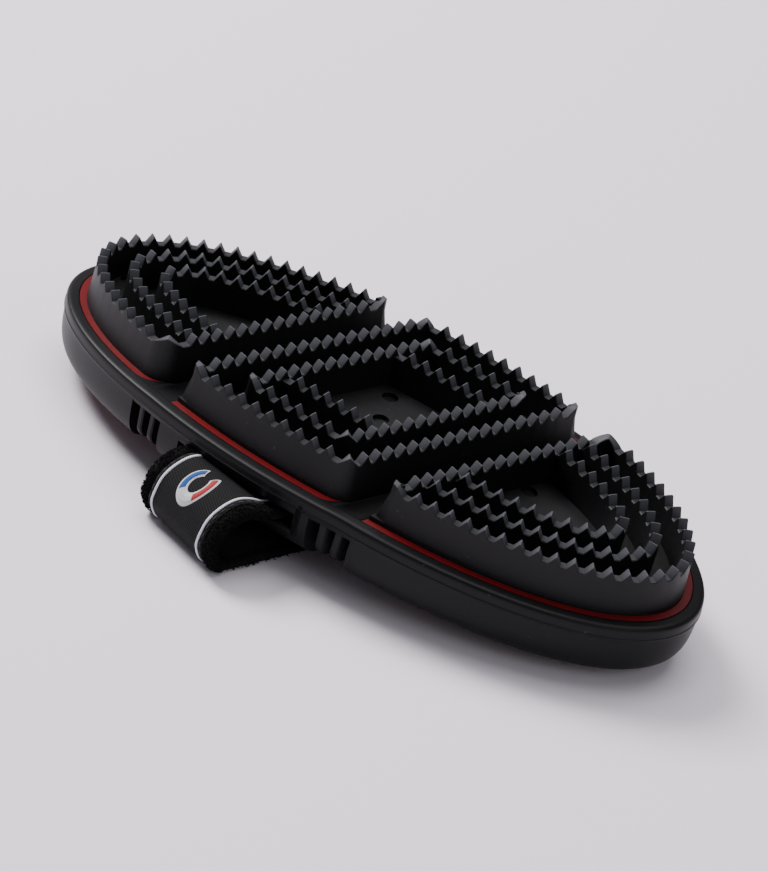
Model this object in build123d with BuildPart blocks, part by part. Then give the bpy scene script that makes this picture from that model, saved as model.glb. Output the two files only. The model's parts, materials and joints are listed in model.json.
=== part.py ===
from build123d import *
from math import cos, hypot, pi, radians, sin
import os

os.makedirs("parts", exist_ok=True)

# Curry comb lying on its back, teeth up. Millimetres, X along the comb, +Z up.
# The origin is on the ground, under the middle of the hand strap.
# "Square" is the distance measured square to the slanted flex zones, "along" runs with them.

# ---------------------------------------------------------------- driving sizes
ridge_a = 88.6            # outer row of teeth: half length of its ellipse
ridge_b = 37.6            # outer row of teeth: half width
ring_pitch = 9.0          # from one row of teeth to the next one inside it
wall = 3.0                # thickness of a tooth wall
wall_height = 11.6        # core plate to tooth tip
tooth_depth = 2.3
tooth_pitch = 4.0         # along the straight rows
arc_pitch = 4.7           # along the curved rows
rib_offset = 17.6         # cross ribs of the centre pad, from the middle line
pad_floor = 2.2           # thickness of a pad's floor
pad_seat = 1.0            # the floor is let into the core plate by this much
round_centre = 3.4        # blunt corners of the centre pad's rows, at the middle of the wall
round_end = 4.7           # the same on the end pads
pad_foot = 0.9            # the floor stands out this much round the walls
floor_hole = 4.4          # round blind holes in each pad's floor
hole_depth = 1.1
centre_holes = [(0, 0), (-4.6, 11.0), (4.6, -11.0)]
end_holes = [(42.6, 5.5), (72.8, -6.3), (84.2, -2.0)]

diagonal = 72.4           # angle of the flex zones to the long axis, degrees
zone_gap = 11.5           # between the rows of teeth on the two sides of a flex zone
centre_half = 23.9        # square, from the middle to the centre pad's slanted row
droop_left = 2.4          # the end sections hang this many degrees below the centre
droop_right = 4.3

body_height = 15.4        # black frame, lower edge to the top of the lip
lip = 3.6                 # width of the rim lip round the red core, level with it
red_band = 2.2            # core left showing between pad and lip
core = 2.4                # thickness of the red core plate
frame_wall = 6.0          # black wall left round a back plate
bottom_round = 3.6
lip_round = 2.4
back = 2.0                # thickness of a red back plate
back_recess = 1.6         # it sits this far above the frame's lower edge

web = 2.6                 # flexible skin over a flex zone
web_half = 2.6            # its free edge, square, from the middle of the zone
fin = 1.8                 # bellows fin
fin_slot = 2.6            # slot between two fins
fin_drop = 3.4            # top of the fins, below the hinge line
fin_short = 1.8           # the fins end this far above the frame's lower edge
membrane = 1.2            # skin that joins a fin to its section

strap_width = 30.0        # pile base
ribbon_width = 23.0
strap_base = 1.6
ribbon = 0.7
lining = 0.7
strap_bulge = 15.0        # how far the strap stands out past the middle of the slot
slot_bar = 5.6            # frame left under a strap slot
slot_height = 4.0
slot_spare = 3.0          # the slot runs past the strap by this much at each end
slot_depth = 15.0
cord = 0.9                # white edge cord
cord_inset = 1.5
hand_gap = 4.4            # strap to frame while the comb lies on it
tab_length = 30.0         # hook tab on the hand side
tab_width = 24.0
motif_size = 9.0
motif_band = 2.0          # width of the horseshoe's band
motif_rise = 0.35

body_clear = 0.3          # between pieces on different bodies
fit_clear = 0.1           # round a piece that sits in a pocket of its own body
cutter_half = 1.8         # half width of a tooth cutter, more than half a wall
tip_flat = 0.05           # a straight row's teeth are cut this far below the tip line
arc_flat = 0.2            # flat left on top of a curved row's tooth
above = 1.0               # cutters run on past the tips by this much
beyond = 400.0            # past every edge of the comb

# ---------------------------------------------------------------- what follows from them
strap_stack = lining + strap_base + ribbon
frame_low = strap_stack + hand_gap
lip_top = frame_low + body_height
core_top = lip_top
core_low = core_top - core
floor_low = core_top - pad_seat
floor_top = floor_low + pad_floor
tip = core_top + wall_height
pad_grow = wall / 2 + pad_foot
core_grow = pad_grow + red_band
body_grow = core_grow + lip
back_grow = body_grow - frame_wall
zone_mid = centre_half + zone_gap / 2
hinge_z = core_top - web / 2
core_cut = zone_gap / 2 - wall / 2 - fit_clear
fin_inner = fin_slot / 2
fin_outer = fin_inner + fin
slot_outer = fin_outer + fin_slot
fin_top = hinge_z - fin_drop
slot_floor = frame_low + slot_bar
anchor = slot_height - 4 * fit_clear
strap_rise = slot_floor + body_clear + strap_base + ribbon


# ---------------------------------------------------------------- shared shapes
def slanted(square, height=0.0):
    """Plane at a distance square to the flex zones, with its Y along them."""
    turn = radians(diagonal - 90)
    origin = (square * cos(turn), square * sin(turn), height)
    return Plane(origin=origin, x_dir=(cos(turn), sin(turn), 0), z_dir=(0, 0, 1))


def hinge_axis(side):
    """The line about which an end section bends, in the middle of its flex zone."""
    zone = slanted(side * zone_mid, hinge_z)
    return Axis(zone.origin, zone.y_dir)


def outline(side, grow, inner):
    """Oval grown from the outer row of teeth, cut along the flex zones.

    Side 0 keeps what lies nearer the middle than inner, side -1 or 1 what lies further out.
    """
    width = beyond if side else 2 * inner
    middle = slanted(side * (inner + beyond / 2)).origin
    with BuildSketch() as shape:
        Ellipse(ridge_a + grow, ridge_b + grow)
        with Locations((middle.X, middle.Y)):
            Rectangle(width, beyond, rotation=diagonal - 90, mode=Mode.INTERSECT)
    return shape.sketch


def cut_distance(side, past):
    """Square distance of a cut that lies this far from the middle of the flex zone."""
    return zone_mid + past if side else zone_mid - past


def finish(piece, name):
    piece.label = name
    export_step(piece, f"parts/{name}.step")


# ---------------------------------------------------------------- teeth
def straight_teeth(square, length, turned=False):
    """Saw-toothed cutter over a straight wall, along a flex zone or, turned, along X."""
    origin = Vector(0, square, 0) if turned else slanted(square).origin
    run = Vector(1, 0, 0) if turned else slanted(square).y_dir
    side_on = Plane(origin=origin, x_dir=run, z_dir=run.cross(Vector(0, 0, 1)))
    count = int(length / tooth_pitch) + 1
    start = -count * tooth_pitch / 2
    peak = tip - tip_flat
    with BuildPart() as cutter:
        with BuildSketch(side_on):
            with BuildLine():
                points = [(start, tip + above), (start, peak)]
                for step in range(count):
                    left = start + step * tooth_pitch
                    points.append((left + tooth_pitch / 2, tip - tooth_depth))
                    points.append((left + tooth_pitch, peak))
                points.append((-start, tip + above))
                Polyline(*points, close=True)
            make_face()
        extrude(amount=cutter_half, both=True)
    return cutter.part


def curved_teeth(grow):
    """V cutters, evenly spaced along the oval, each square to it."""
    a = ridge_a + grow
    b = ridge_b + grow
    steps = 2000
    points = [(a * cos(2 * pi * i / steps), b * sin(2 * pi * i / steps)) for i in range(steps + 1)]
    reach = [0.0]
    for before, after in zip(points, points[1:]):
        reach.append(reach[-1] + hypot(after[0] - before[0], after[1] - before[1]))
    half = (arc_pitch - arc_flat) / 2
    with BuildPart() as wedge:
        with BuildSketch():
            with BuildLine():
                Polyline((-half, above), (-half, 0), (0, -tooth_depth), (half, 0), (half, above), close=True)
            make_face()
        extrude(amount=cutter_half, both=True)
    count = 2 * round(reach[-1] / arc_pitch / 2)
    cutters = []
    index = 0
    for tooth in range(count):
        goal = (tooth + 0.5) * reach[-1] / count
        while reach[index] < goal:
            index += 1
        x, y = points[index]
        outward = Vector(x / a**2, y / b**2, 0).normalized()
        spot = Plane(origin=(x, y, tip), x_dir=Vector(0, 0, 1).cross(outward), z_dir=outward)
        cutters.append(spot.location * wedge.part)
    return cutters


def blunt(side, edges):
    """The upright edges at a pad's blunt corners: two on the centre pad, the far one on the right."""
    upright = edges.filter_by(Axis.Z)
    if side:
        return upright.filter_by(lambda edge: edge.center().Y > 0)
    return upright.filter_by(lambda edge: edge.center().X * edge.center().Y < 0)


def block(side, shape, low, high, past_row=None):
    """Upright block over an outline. Its blunt corners are rounded about the same middle as the
    row's, with this much more radius, or left sharp."""
    with BuildPart() as solid:
        with BuildSketch(Plane.XY.offset(low)):
            add(shape)
        extrude(amount=high - low)
        if past_row is not None:
            fillet(blunt(side, solid.edges()), (round_end if side else round_centre) + past_row)
    return solid.part


def tooth_wall(side, outer, hollow, cutters, rounded=True):
    """Wall between two outlines, from the pad's floor to the tooth tips, with its teeth cut."""
    half = wall / 2
    with BuildPart() as ring:
        add(block(side, outer, floor_top, tip, half if rounded else None))
        add(block(side, hollow, floor_top, tip, -half if rounded else None), mode=Mode.SUBTRACT)
        add(cutters, mode=Mode.SUBTRACT)
    return ring.part


def centre_ring(level):
    grow = -level * ring_pitch
    row = centre_half - level * ring_pitch
    outer = outline(0, grow + wall / 2, row + wall / 2)
    hollow = outline(0, grow - wall / 2, row - wall / 2)
    length = 2 * (ridge_b + grow) + 3 * wall
    rows = [straight_teeth(row, length), straight_teeth(-row, length)]
    near_middle = [cut for cut in curved_teeth(grow) if abs(cut.center().X) < beyond_row(row)]
    return tooth_wall(0, outer, hollow, rows + near_middle)


def beyond_row(row):
    """X past which an oval has left the space between two slanted rows."""
    return (row + ridge_b * cos(radians(diagonal))) / sin(radians(diagonal)) + arc_pitch


def end_ring(level):
    grow = -level * ring_pitch
    row = centre_half + zone_gap
    cutters = [cut for cut in curved_teeth(grow) if cut.center().X > 0]
    if level == 0:
        outer = outline(1, wall / 2, row - wall / 2)
        hollow = outline(1, -wall / 2, row + wall / 2)
        cutters.append(straight_teeth(row, 2 * ridge_b))
    else:
        outer = outline(1, grow + wall / 2, row + wall / 2)
        hollow = outline(1, grow - wall / 2, row)
    return tooth_wall(1, outer, hollow, cutters, rounded=level == 0)


def cross_rib(side):
    """Straight toothed rib across the inner ring of the centre pad."""
    row = centre_half - ring_pitch - wall / 2
    with BuildPart() as rib:
        with BuildSketch(Plane.XY.offset(floor_top)):
            add(outline(0, 0, row))
            with Locations((0, side * rib_offset)):
                Rectangle(beyond, wall, mode=Mode.INTERSECT)
        extrude(amount=tip - floor_top)
        add(straight_teeth(side * rib_offset, 2 * centre_half, turned=True), mode=Mode.SUBTRACT)
    return rib.part


def pad_floor_plate(side):
    with BuildPart() as plate:
        edge = outline(side, pad_grow, cut_distance(side, core_cut))
        add(block(side, edge, floor_low, floor_top, pad_grow))
        with BuildSketch(Plane.XY.offset(floor_top - hole_depth)):
            with Locations(*(end_holes if side else centre_holes)):
                Circle(floor_hole / 2)
        extrude(amount=hole_depth, mode=Mode.SUBTRACT)
    return plate.part


# ---------------------------------------------------------------- sections of the body
def core_plate(side):
    """Red plate that holds a section's pad in a shallow seat and shows as a band round it."""
    with BuildPart() as plate:
        edge = outline(side, core_grow - fit_clear, cut_distance(side, core_cut))
        add(block(side, edge, core_low, core_top, pad_grow))
        seat = outline(side, pad_grow + fit_clear, cut_distance(side, core_cut))
        add(block(side, seat, floor_low, core_top, pad_grow), mode=Mode.SUBTRACT)
    return plate.part


def back_plate(side):
    with BuildPart() as plate:
        with BuildSketch(Plane.XY.offset(frame_low + back_recess)):
            add(outline(side, back_grow - fit_clear, cut_distance(side, slot_outer + fin)))
        extrude(amount=back)
    return plate.part


def rubber_frame(side):
    """Black frame of one section, with its bellows fins and the seats for core and back plate."""
    with BuildPart() as frame:
        with BuildSketch(Plane.XY.offset(frame_low)):
            add(outline(side, body_grow, cut_distance(side, fin_inner)))
        extrude(amount=fin_top - frame_low)
        with BuildSketch(Plane.XY.offset(fin_top)):
            add(outline(side, body_grow, cut_distance(side, core_cut)))
        extrude(amount=lip_top - fin_top)
        curved = frame.edges().filter_by(GeomType.ELLIPSE)
        fillet(curved.group_by(Axis.Z)[0], bottom_round)
        curved = frame.edges().filter_by(GeomType.ELLIPSE)
        fillet(curved.group_by(Axis.Z)[-1], lip_round)
        pocket = outline(side, core_grow, cut_distance(side, core_cut))
        add(block(side, pocket, core_low, core_top, pad_grow), mode=Mode.SUBTRACT)
        with BuildSketch(Plane.XY.offset(frame_low)):
            add(outline(side, back_grow, cut_distance(side, slot_outer + fin - fit_clear)))
        extrude(amount=back_recess + back, mode=Mode.SUBTRACT)
        for zone in ((-1, 1) if side == 0 else (side,)):
            inward = 1 if side == 0 else -1
            middle = zone * (zone_mid - inward * (fin_outer + slot_outer) / 2)
            with BuildSketch(slanted(middle, frame_low)):
                Rectangle(fin_slot, beyond)
            extrude(amount=fin_top - membrane - frame_low, mode=Mode.SUBTRACT)
            with BuildSketch(slanted(zone * zone_mid, frame_low)):
                Rectangle(2 * fin_outer + fit_clear, beyond)
            extrude(amount=fin_short, mode=Mode.SUBTRACT)
        if side == 0:
            for end in (-1, 1):
                with BuildSketch(slanted(0, slot_floor)):
                    with Locations((0, end * (slot_reach() + beyond / 2))):
                        Rectangle(strap_width + 2 * slot_spare, beyond)
                extrude(amount=slot_height, mode=Mode.SUBTRACT)
    return frame.part


def slot_reach():
    """How far along the flex zones the inner end of a strap slot lies."""
    return along_edge() - slot_depth


def along_edge():
    """Length from the middle to the frame's side, along the flex zones."""
    turn = radians(diagonal)
    a = ridge_a + body_grow
    b = ridge_b + body_grow
    return 1 / hypot(cos(turn) / a, sin(turn) / b)


def flex_web(side):
    """Rubber skin over a flex zone. It belongs to the centre section."""
    attached = zone_mid - core_cut
    free = zone_mid + web_half
    middle = side * (attached + free) / 2
    with BuildPart() as skin:
        with BuildSketch(Plane.XY.offset(hinge_z - web / 2)):
            Ellipse(ridge_a + body_grow, ridge_b + body_grow)
        extrude(amount=web)
        edges = skin.edges().group_by(Axis.Z)[-1]
        fillet(edges, lip_round)
        with BuildSketch(slanted(middle, 0)):
            Rectangle(free - attached, beyond)
        extrude(amount=beyond, mode=Mode.INTERSECT)
    return skin.part


# ---------------------------------------------------------------- hand strap
strap_out = along_edge() + strap_bulge
strap_side = Plane(slanted(0).origin, x_dir=slanted(0).y_dir, z_dir=slanted(0).x_dir)


def strap_band(depth, thick, width):
    """Band round the outside of the strap's path: flat below, a half round at each end."""
    with BuildPart() as band:
        with BuildSketch(strap_side):
            with Locations((0, strap_rise / 2)):
                SlotOverall(2 * (strap_out - depth), strap_rise - 2 * depth)
                inner = depth + thick
                SlotOverall(2 * (strap_out - inner), strap_rise - 2 * inner, mode=Mode.SUBTRACT)
        extrude(amount=width / 2, both=True)
    return band.part


def strap_layer(depth, thick, width):
    """The moving part of the strap, clear of the frame over its whole travel."""
    with BuildPart() as layer:
        add(strap_band(depth, thick, width))
        with BuildSketch(Plane.XY.offset(strap_rise / 2)):
            Ellipse(ridge_a + body_grow + body_clear, ridge_b + body_grow + body_clear)
        extrude(amount=beyond, mode=Mode.SUBTRACT)
    return layer.part


def strap_end(end):
    """The strap's end inside its slot, round the anchor bar's outer side."""
    inner = slot_reach() + anchor + 2 * fit_clear
    with BuildPart() as tail:
        add(strap_band(0, strap_base + ribbon, strap_width))
        with BuildSketch(Plane.XY.offset(strap_rise / 2)):
            Ellipse(ridge_a + body_grow, ridge_b + body_grow)
        extrude(amount=beyond, mode=Mode.INTERSECT)
        with BuildSketch(slanted(0)):
            with Locations((0, end * (inner + beyond / 2))):
                Rectangle(beyond, beyond)
        extrude(amount=beyond, mode=Mode.INTERSECT)
    return tail.part


def anchor_bar(end):
    """Round bar across the inner end of a strap slot."""
    along = end * (slot_reach() + anchor / 2 + fit_clear)
    middle = slanted(0, slot_floor + slot_height / 2).from_local_coords(Vector(0, along, 0))
    with BuildPart() as bar:
        with BuildSketch(Plane(middle, x_dir=(0, 0, 1), z_dir=slanted(0).x_dir)):
            Circle(anchor / 2)
        extrude(amount=strap_width / 2 + slot_spare, both=True)
    return bar.part


cord_at = ribbon_width / 2 - cord_inset


def edge_cord(side):
    with BuildPart() as line:
        add(strap_layer(0, ribbon / 2, ribbon_width))
        with BuildSketch(slanted(side * cord_at)):
            Rectangle(cord, beyond)
        extrude(amount=beyond, mode=Mode.INTERSECT)
    return line.part


def strap_ribbon():
    with BuildPart() as layer:
        add(strap_layer(0, ribbon, ribbon_width))
        for side in (-1, 1):
            add(edge_cord(side), mode=Mode.SUBTRACT)
    return layer.part


def horseshoe():
    """Small embroidered horseshoe on top of the strap's near bulge."""
    along = -(strap_out - strap_bulge / 2)
    with BuildPart() as motif:
        add(strap_band(-motif_rise, motif_rise, ribbon_width))
        with BuildSketch(slanted(0, strap_rise / 2)):
            with Locations((0, along)):
                Circle(motif_size / 2)
                Circle(motif_size / 2 - motif_band, mode=Mode.SUBTRACT)
            with Locations((0, along - motif_size / 2)):
                Rectangle(motif_size / 2, motif_size / 2, mode=Mode.SUBTRACT)
        extrude(amount=beyond, mode=Mode.INTERSECT)
    return motif.part


def flat_strip(low, high, width):
    """Flat strip on the hand side of the strap, between two places along it."""
    with BuildPart() as strip:
        with BuildSketch(slanted(0, ribbon + strap_base)):
            with Locations((0, (low + high) / 2)):
                Rectangle(width, high - low)
        extrude(amount=lining)
    return strip.part


# ---------------------------------------------------------------- the pieces
finish(rubber_frame(0), "frame_centre")
finish(core_plate(0), "core_centre")
finish(back_plate(0), "back_centre")
finish(pad_floor_plate(0), "pad_floor_centre")
finish(centre_ring(0), "teeth_centre_outer")
finish(centre_ring(1), "teeth_centre_inner")
finish(cross_rib(-1), "teeth_centre_rib_near")
finish(cross_rib(1), "teeth_centre_rib_far")
finish(strap_end(-1), "strap_end_near")
finish(strap_end(1), "strap_end_far")
finish(anchor_bar(-1), "anchor_bar_near")
finish(anchor_bar(1), "anchor_bar_far")

# The comb's plan looks the same after half a turn, so each end piece is made once, hung by the
# right end's droop, and for the left end hung by its own and turned.
hung = {
    "frame": rubber_frame(1),
    "core": core_plate(1),
    "back": back_plate(1),
    "pad_floor": pad_floor_plate(1),
    "teeth_outer": end_ring(0),
    "teeth_middle": end_ring(1),
    "teeth_inner": end_ring(2),
}
for name, right in hung.items():
    family, _, ring = name.partition("_") if name.startswith("teeth") else (name, "", "")
    ending = f"_{ring}" if ring else ""
    finish(right.rotate(hinge_axis(1), droop_right), f"{family}_right{ending}")
    finish(right.rotate(hinge_axis(1), droop_left).rotate(Axis.Z, 180), f"{family}_left{ending}")

skin = flex_web(1)
finish(skin, "flex_web_right")
finish(skin.rotate(Axis.Z, 180), "flex_web_left")

flat_half = strap_out - strap_rise / 2
finish(strap_layer(ribbon, strap_base, strap_width), "strap_base")
finish(strap_ribbon(), "strap_ribbon")
finish(edge_cord(-1), "edge_cord_left")
finish(edge_cord(1), "edge_cord_right")
finish(horseshoe(), "strap_motif")
finish(flat_strip(flat_half - tab_length, flat_half, tab_width), "hook_tab")
finish(flat_strip(-flat_half, flat_half - tab_length - fit_clear, strap_width), "strap_lining")
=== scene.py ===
import json
import math
import bmesh
import bpy
import numpy as np
from mathutils import Matrix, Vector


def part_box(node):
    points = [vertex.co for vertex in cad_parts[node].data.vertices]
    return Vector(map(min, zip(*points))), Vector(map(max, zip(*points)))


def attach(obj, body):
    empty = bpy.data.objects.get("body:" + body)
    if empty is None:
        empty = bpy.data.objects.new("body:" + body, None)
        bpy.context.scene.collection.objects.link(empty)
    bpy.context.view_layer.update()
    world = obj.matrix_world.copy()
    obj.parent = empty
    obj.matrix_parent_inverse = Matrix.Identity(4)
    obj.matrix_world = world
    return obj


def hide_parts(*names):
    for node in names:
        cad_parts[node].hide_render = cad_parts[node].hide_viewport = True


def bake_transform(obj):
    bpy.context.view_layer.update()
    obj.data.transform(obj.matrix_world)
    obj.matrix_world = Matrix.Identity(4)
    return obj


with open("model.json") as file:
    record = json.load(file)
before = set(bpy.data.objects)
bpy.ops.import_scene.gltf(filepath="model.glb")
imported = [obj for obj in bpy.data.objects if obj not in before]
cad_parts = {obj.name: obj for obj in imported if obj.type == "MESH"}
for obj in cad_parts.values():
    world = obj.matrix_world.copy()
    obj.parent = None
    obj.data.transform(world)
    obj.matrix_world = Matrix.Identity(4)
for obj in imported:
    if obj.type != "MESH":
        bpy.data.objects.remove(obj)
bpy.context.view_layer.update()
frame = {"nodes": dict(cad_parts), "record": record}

mm = 0.001

# shared layout in millimetres: concentric ovals cut by two slanted flex zones
comb = {
    "slant": 72.4,          # degrees from the long axis to the flex zones
    "ridgeA": 88.6,         # outer row of teeth, half length and half width
    "ridgeB": 37.6,
    "ringStep": 9.0,
    "rowCentre": 23.9,      # middle to the centre pad's slanted row, square to it
    "zoneGap": 11.5,
    "droop": {-1: 2.4, 1: 4.3},     # degrees the left and right sections hang by
    "foot": 2.4,            # outer face of a pad at its base, beyond the ridge
    "redBand": 2.2,
    "lip": 3.6,
}
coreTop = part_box("core_centre")[1][2] / mm
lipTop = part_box("frame_centre")[1][2] / mm
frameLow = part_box("frame_centre")[0][2] / mm
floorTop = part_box("pad_floor_centre")[1][2] / mm
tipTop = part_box("teeth_centre_outer")[1][2] / mm + 0.05
zoneMid = comb["rowCentre"] + comb["zoneGap"] / 2
hinges = {j["name"]: j for j in frame["record"]["behaviour"]["joints"]}
hingeZ = hinges["right_flex"]["pos_m"][2] / mm
slant = math.radians(comb["slant"])
along = np.array([math.cos(slant), math.sin(slant)])      # unit vector along a flex zone
square = np.array([math.sin(slant), -math.cos(slant)])    # unit vector square to it
coreGrow = comb["foot"] + comb["redBand"]
bodyGrow = coreGrow + comb["lip"]
sides = {"left": -1, "right": 1}


def ease(low, high, value):
    # 0 below low, 1 above high, a cubic ease between
    t = np.clip((value - low) / (high - low), 0, 1)
    return t * t * (3 - 2 * t)


def hang(points, side, rigid=True):
    # turn by the droop about the hinge line; a flexing piece eases into it across its zone
    p = np.array(points, float)
    out = side * (p[..., :2] @ square) - zoneMid
    rise = p[..., 2] - hingeZ
    half = comb["zoneGap"] / 2
    turn = math.radians(comb["droop"][side]) * (1 if rigid else ease(-half, half, out))
    newOut = out * np.cos(turn) + rise * np.sin(turn)
    p[..., :2] += ((newOut - out) * side)[..., None] * square
    p[..., 2] = hingeZ + rise * np.cos(turn) - out * np.sin(turn)
    return p


# mesh helpers
def gridFaces(rows, cols, closeRows=False, closeCols=False, start=0):
    # quads of a rows by cols grid of vertices, wrapped round where asked
    i = np.arange(rows if closeRows else rows - 1)
    j = np.arange(cols if closeCols else cols - 1)
    i, j = [k.ravel() for k in np.meshgrid(i, j, indexing="ij")]
    nextI, nextJ = (i + 1) % rows, (j + 1) % cols
    return start + np.stack([i * cols + j, nextI * cols + j, nextI * cols + nextJ, i * cols + nextJ], 1)


def addMesh(name, verts, faces, material, sharp=35, attributes=None, uv=None):
    # verts in millimetres; faces a list of index arrays, quads or polygons of any length
    mesh = bpy.data.meshes.new(name)
    polygons = []
    for block in faces:
        polygons += np.asarray(block).tolist() if np.ndim(block) == 2 else [list(block)]
    mesh.from_pydata((np.asarray(verts).reshape(-1, 3) * mm).tolist(), [], polygons)
    outward = bmesh.new()
    outward.from_mesh(mesh)
    bmesh.ops.recalc_face_normals(outward, faces=outward.faces)
    outward.to_mesh(mesh)
    outward.free()
    for key, values in (attributes or {}).items():
        layer = mesh.attributes.new(key, "FLOAT", "POINT")
        layer.data.foreach_set("value", np.asarray(values, np.float32).ravel())
    if uv is not None:
        layer = mesh.uv_layers.new(name="weave")
        corners = np.zeros(len(mesh.loops), np.int32)
        mesh.loops.foreach_get("vertex_index", corners)
        layer.data.foreach_set("uv", np.asarray(uv, np.float32).reshape(-1, 2)[corners].ravel())
    mesh.validate()
    mesh.polygons.foreach_set("use_smooth", np.ones(len(mesh.polygons), bool))
    mesh.set_sharp_from_angle(angle=math.radians(sharp))
    piece = bpy.data.objects.new(name, mesh)
    bpy.context.scene.collection.objects.link(piece)
    mesh.materials.append(material)
    return piece


def place(piece, body, nodes=()):
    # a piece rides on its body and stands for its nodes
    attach(piece, body)
    if nodes:
        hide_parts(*nodes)
    return piece


def spreadAlong(points, count):
    # points at equal steps of arc length along a dense line
    step = np.r_[0, np.cumsum(np.linalg.norm(np.diff(points, axis=0), axis=1))]
    goal = np.linspace(0, step[-1], count)
    return np.stack([np.interp(goal, step, points[:, k]) for k in range(points.shape[1])], 1)


def roundOff(points, rounds=2, closed=False):
    # each corner is cut at a quarter and three quarters of its sides, again and again
    p = np.array(points, float)
    for _ in range(rounds):
        nextP = np.roll(p, -1, 0) if closed else p[1:]
        here = p if closed else p[:-1]
        cut = np.stack([0.75 * here + 0.25 * nextP, 0.25 * here + 0.75 * nextP], 1).reshape(-1, p.shape[1])
        p = cut if closed else np.vstack([p[:1], cut, p[-1:]])
    return p


# finishes
class Wire:
    # a node's output that sums can be written on; each operator adds one Math node
    def __init__(self, finish, socket):
        self.finish, self.socket = finish, socket

    def maths(self, operation, *others):
        values = {i: v for i, v in enumerate((self,) + others)}
        return self.finish.add("ShaderNodeMath", {"operation": operation}, values)

    def __add__(self, other): return self.maths("ADD", other)
    def __radd__(self, other): return self.maths("ADD", other)
    def __sub__(self, other): return self.maths("SUBTRACT", other)
    def __rsub__(self, other): return self.maths("MULTIPLY", -1.0).maths("ADD", other)
    def __mul__(self, other): return self.maths("MULTIPLY", other)
    def __rmul__(self, other): return self.maths("MULTIPLY", other)
    def __truediv__(self, other): return self.maths("DIVIDE", other)
    def __pow__(self, other): return self.maths("POWER", other)


class Finish:
    # a material round one Principled shader; constants go straight onto its sockets
    def __init__(self, name, fixed):
        self.material = bpy.data.materials.new(name)
        self.material.use_nodes = True
        self.tree = self.material.node_tree
        self.tree.nodes.clear()
        self.shader = self.tree.nodes.new("ShaderNodeBsdfPrincipled")
        output = self.tree.nodes.new("ShaderNodeOutputMaterial")
        self.tree.links.new(self.shader.outputs[0], output.inputs[0])
        for socket, value in fixed.items():
            self.shader.inputs[socket].default_value = value

    def add(self, kind, settings, sockets, output=0):
        node = self.tree.nodes.new(kind)
        for key, value in settings.items():
            if key == "stops":
                for stop, (spot, shade) in zip(node.color_ramp.elements, value):
                    stop.position, stop.color = spot, shade
            else:
                setattr(node, key, value)
        for key, value in sockets.items():
            if isinstance(value, Wire):
                self.tree.links.new(value.socket, node.inputs[key])
            else:
                node.inputs[key].default_value = value
        return Wire(self, node.outputs[output])

    def other(self, wire, output):
        # another output of the node that a wire comes from
        return Wire(self, wire.socket.node.outputs[output])

    def feed(self, socket, wire):
        self.tree.links.new(wire.socket, self.shader.inputs[socket])

    def objectPlace(self):
        return self.add("ShaderNodeTexCoord", {}, {}, output="Object")

    def noise(self, scale, detail):
        sockets = {"Vector": self.objectPlace(), "Scale": scale, "Detail": detail}
        return self.add("ShaderNodeTexNoise", {}, sockets)

    def attribute(self, name):
        return self.add("ShaderNodeAttribute", {"attribute_name": name}, {}, output="Fac")

    def blendColours(self, factor, first, second):
        sockets = {0: factor, 6: first, 7: second}
        return self.add("ShaderNodeMix", {"data_type": "RGBA"}, sockets, output=2)

    def bump(self, height, distance, strength=1.0):
        return self.add("ShaderNodeBump", {}, {"Height": height, "Distance": distance, "Strength": strength})


def shade(level, tint=(1, 1, 1)):
    return (level * tint[0], level * tint[1], level * tint[2], 1)


def rubberFinish(name, look):
    # moulded rubber: even black with a fine grain, faint bloom in broad patches and sparse dust
    finish = Finish(name, {"Specular IOR Level": look["gloss"]})
    broad = finish.noise(60, 3)
    fine = finish.noise(2600, 2)
    dust = finish.noise(900, 1).maths("GREATER_THAN", look["dustCut"])
    rub = finish.attribute("rub")
    bloom = broad.maths("MULTIPLY", look["bloom"])
    dark = finish.blendColours(bloom, shade(look["dark"], look["tint"]), shade(look["light"], look["tint"]))
    worn = finish.blendColours(rub * look["rubAmount"], dark, shade(look["rubbed"], look["tint"]))
    finish.feed("Base Color", finish.blendColours(dust * look["dust"], worn, shade(0.16)))
    finish.feed("Roughness", look["rough"] + (broad - 0.5) * 0.12 + rub * 0.08)
    finish.feed("Normal", finish.bump(fine, look["grain"] * mm))
    return finish.material


def plasticFinish(name, look):
    # hard moulded plastic with a slight flow mottle
    finish = Finish(name, {"Specular IOR Level": 0.22})
    mottle = finish.noise(140, 2)
    fine = finish.noise(1800, 2)
    finish.feed("Base Color", finish.blendColours(mottle, look["colour"], look["deep"]))
    finish.feed("Roughness", look["rough"] + (mottle - 0.5) * 0.1)
    finish.feed("Normal", finish.bump(fine, 0.02 * mm))
    return finish.material


def twillFinish(name, look):
    # diagonal rib of a twill: a wave over the weave's own map, crossed by the yarn's twist; the colour
    # follows it, with painted highlight on the crests and painted shade in the hollows
    finish = Finish(name, {"Specular IOR Level": 0.08, "Sheen Weight": look["sheen"], "Sheen Roughness": 0.5})
    weave = finish.add("ShaderNodeUVMap", {"uv_map": "weave"}, {})
    across = finish.add("ShaderNodeSeparateXYZ", {}, {0: weave})
    length = finish.other(across, 1)
    lean = math.radians(look["lean"])
    slope = length * math.cos(lean) - across * math.sin(lean)
    rib = (slope * (2 * math.pi / look["ribPitch"])).maths("SINE")
    yarn = ((across + rib * 0.04) * (2 * math.pi / look["yarnPitch"])).maths("SINE")
    height = rib * 0.38 + yarn * 0.16 + 0.5
    # painted highlight: the crests take the lighter colour, and the hollows keep the darker one as painted
    # shade
    paintedHighlight = finish.blendColours(height * 0.9, look["colour"], look["paintedHighlight"])
    finish.feed("Base Color", paintedHighlight)
    finish.feed("Roughness", 0.62 + height * 0.12)
    finish.feed("Normal", finish.bump(height, look["depth"] * mm, 0.9))
    return finish.material


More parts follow.
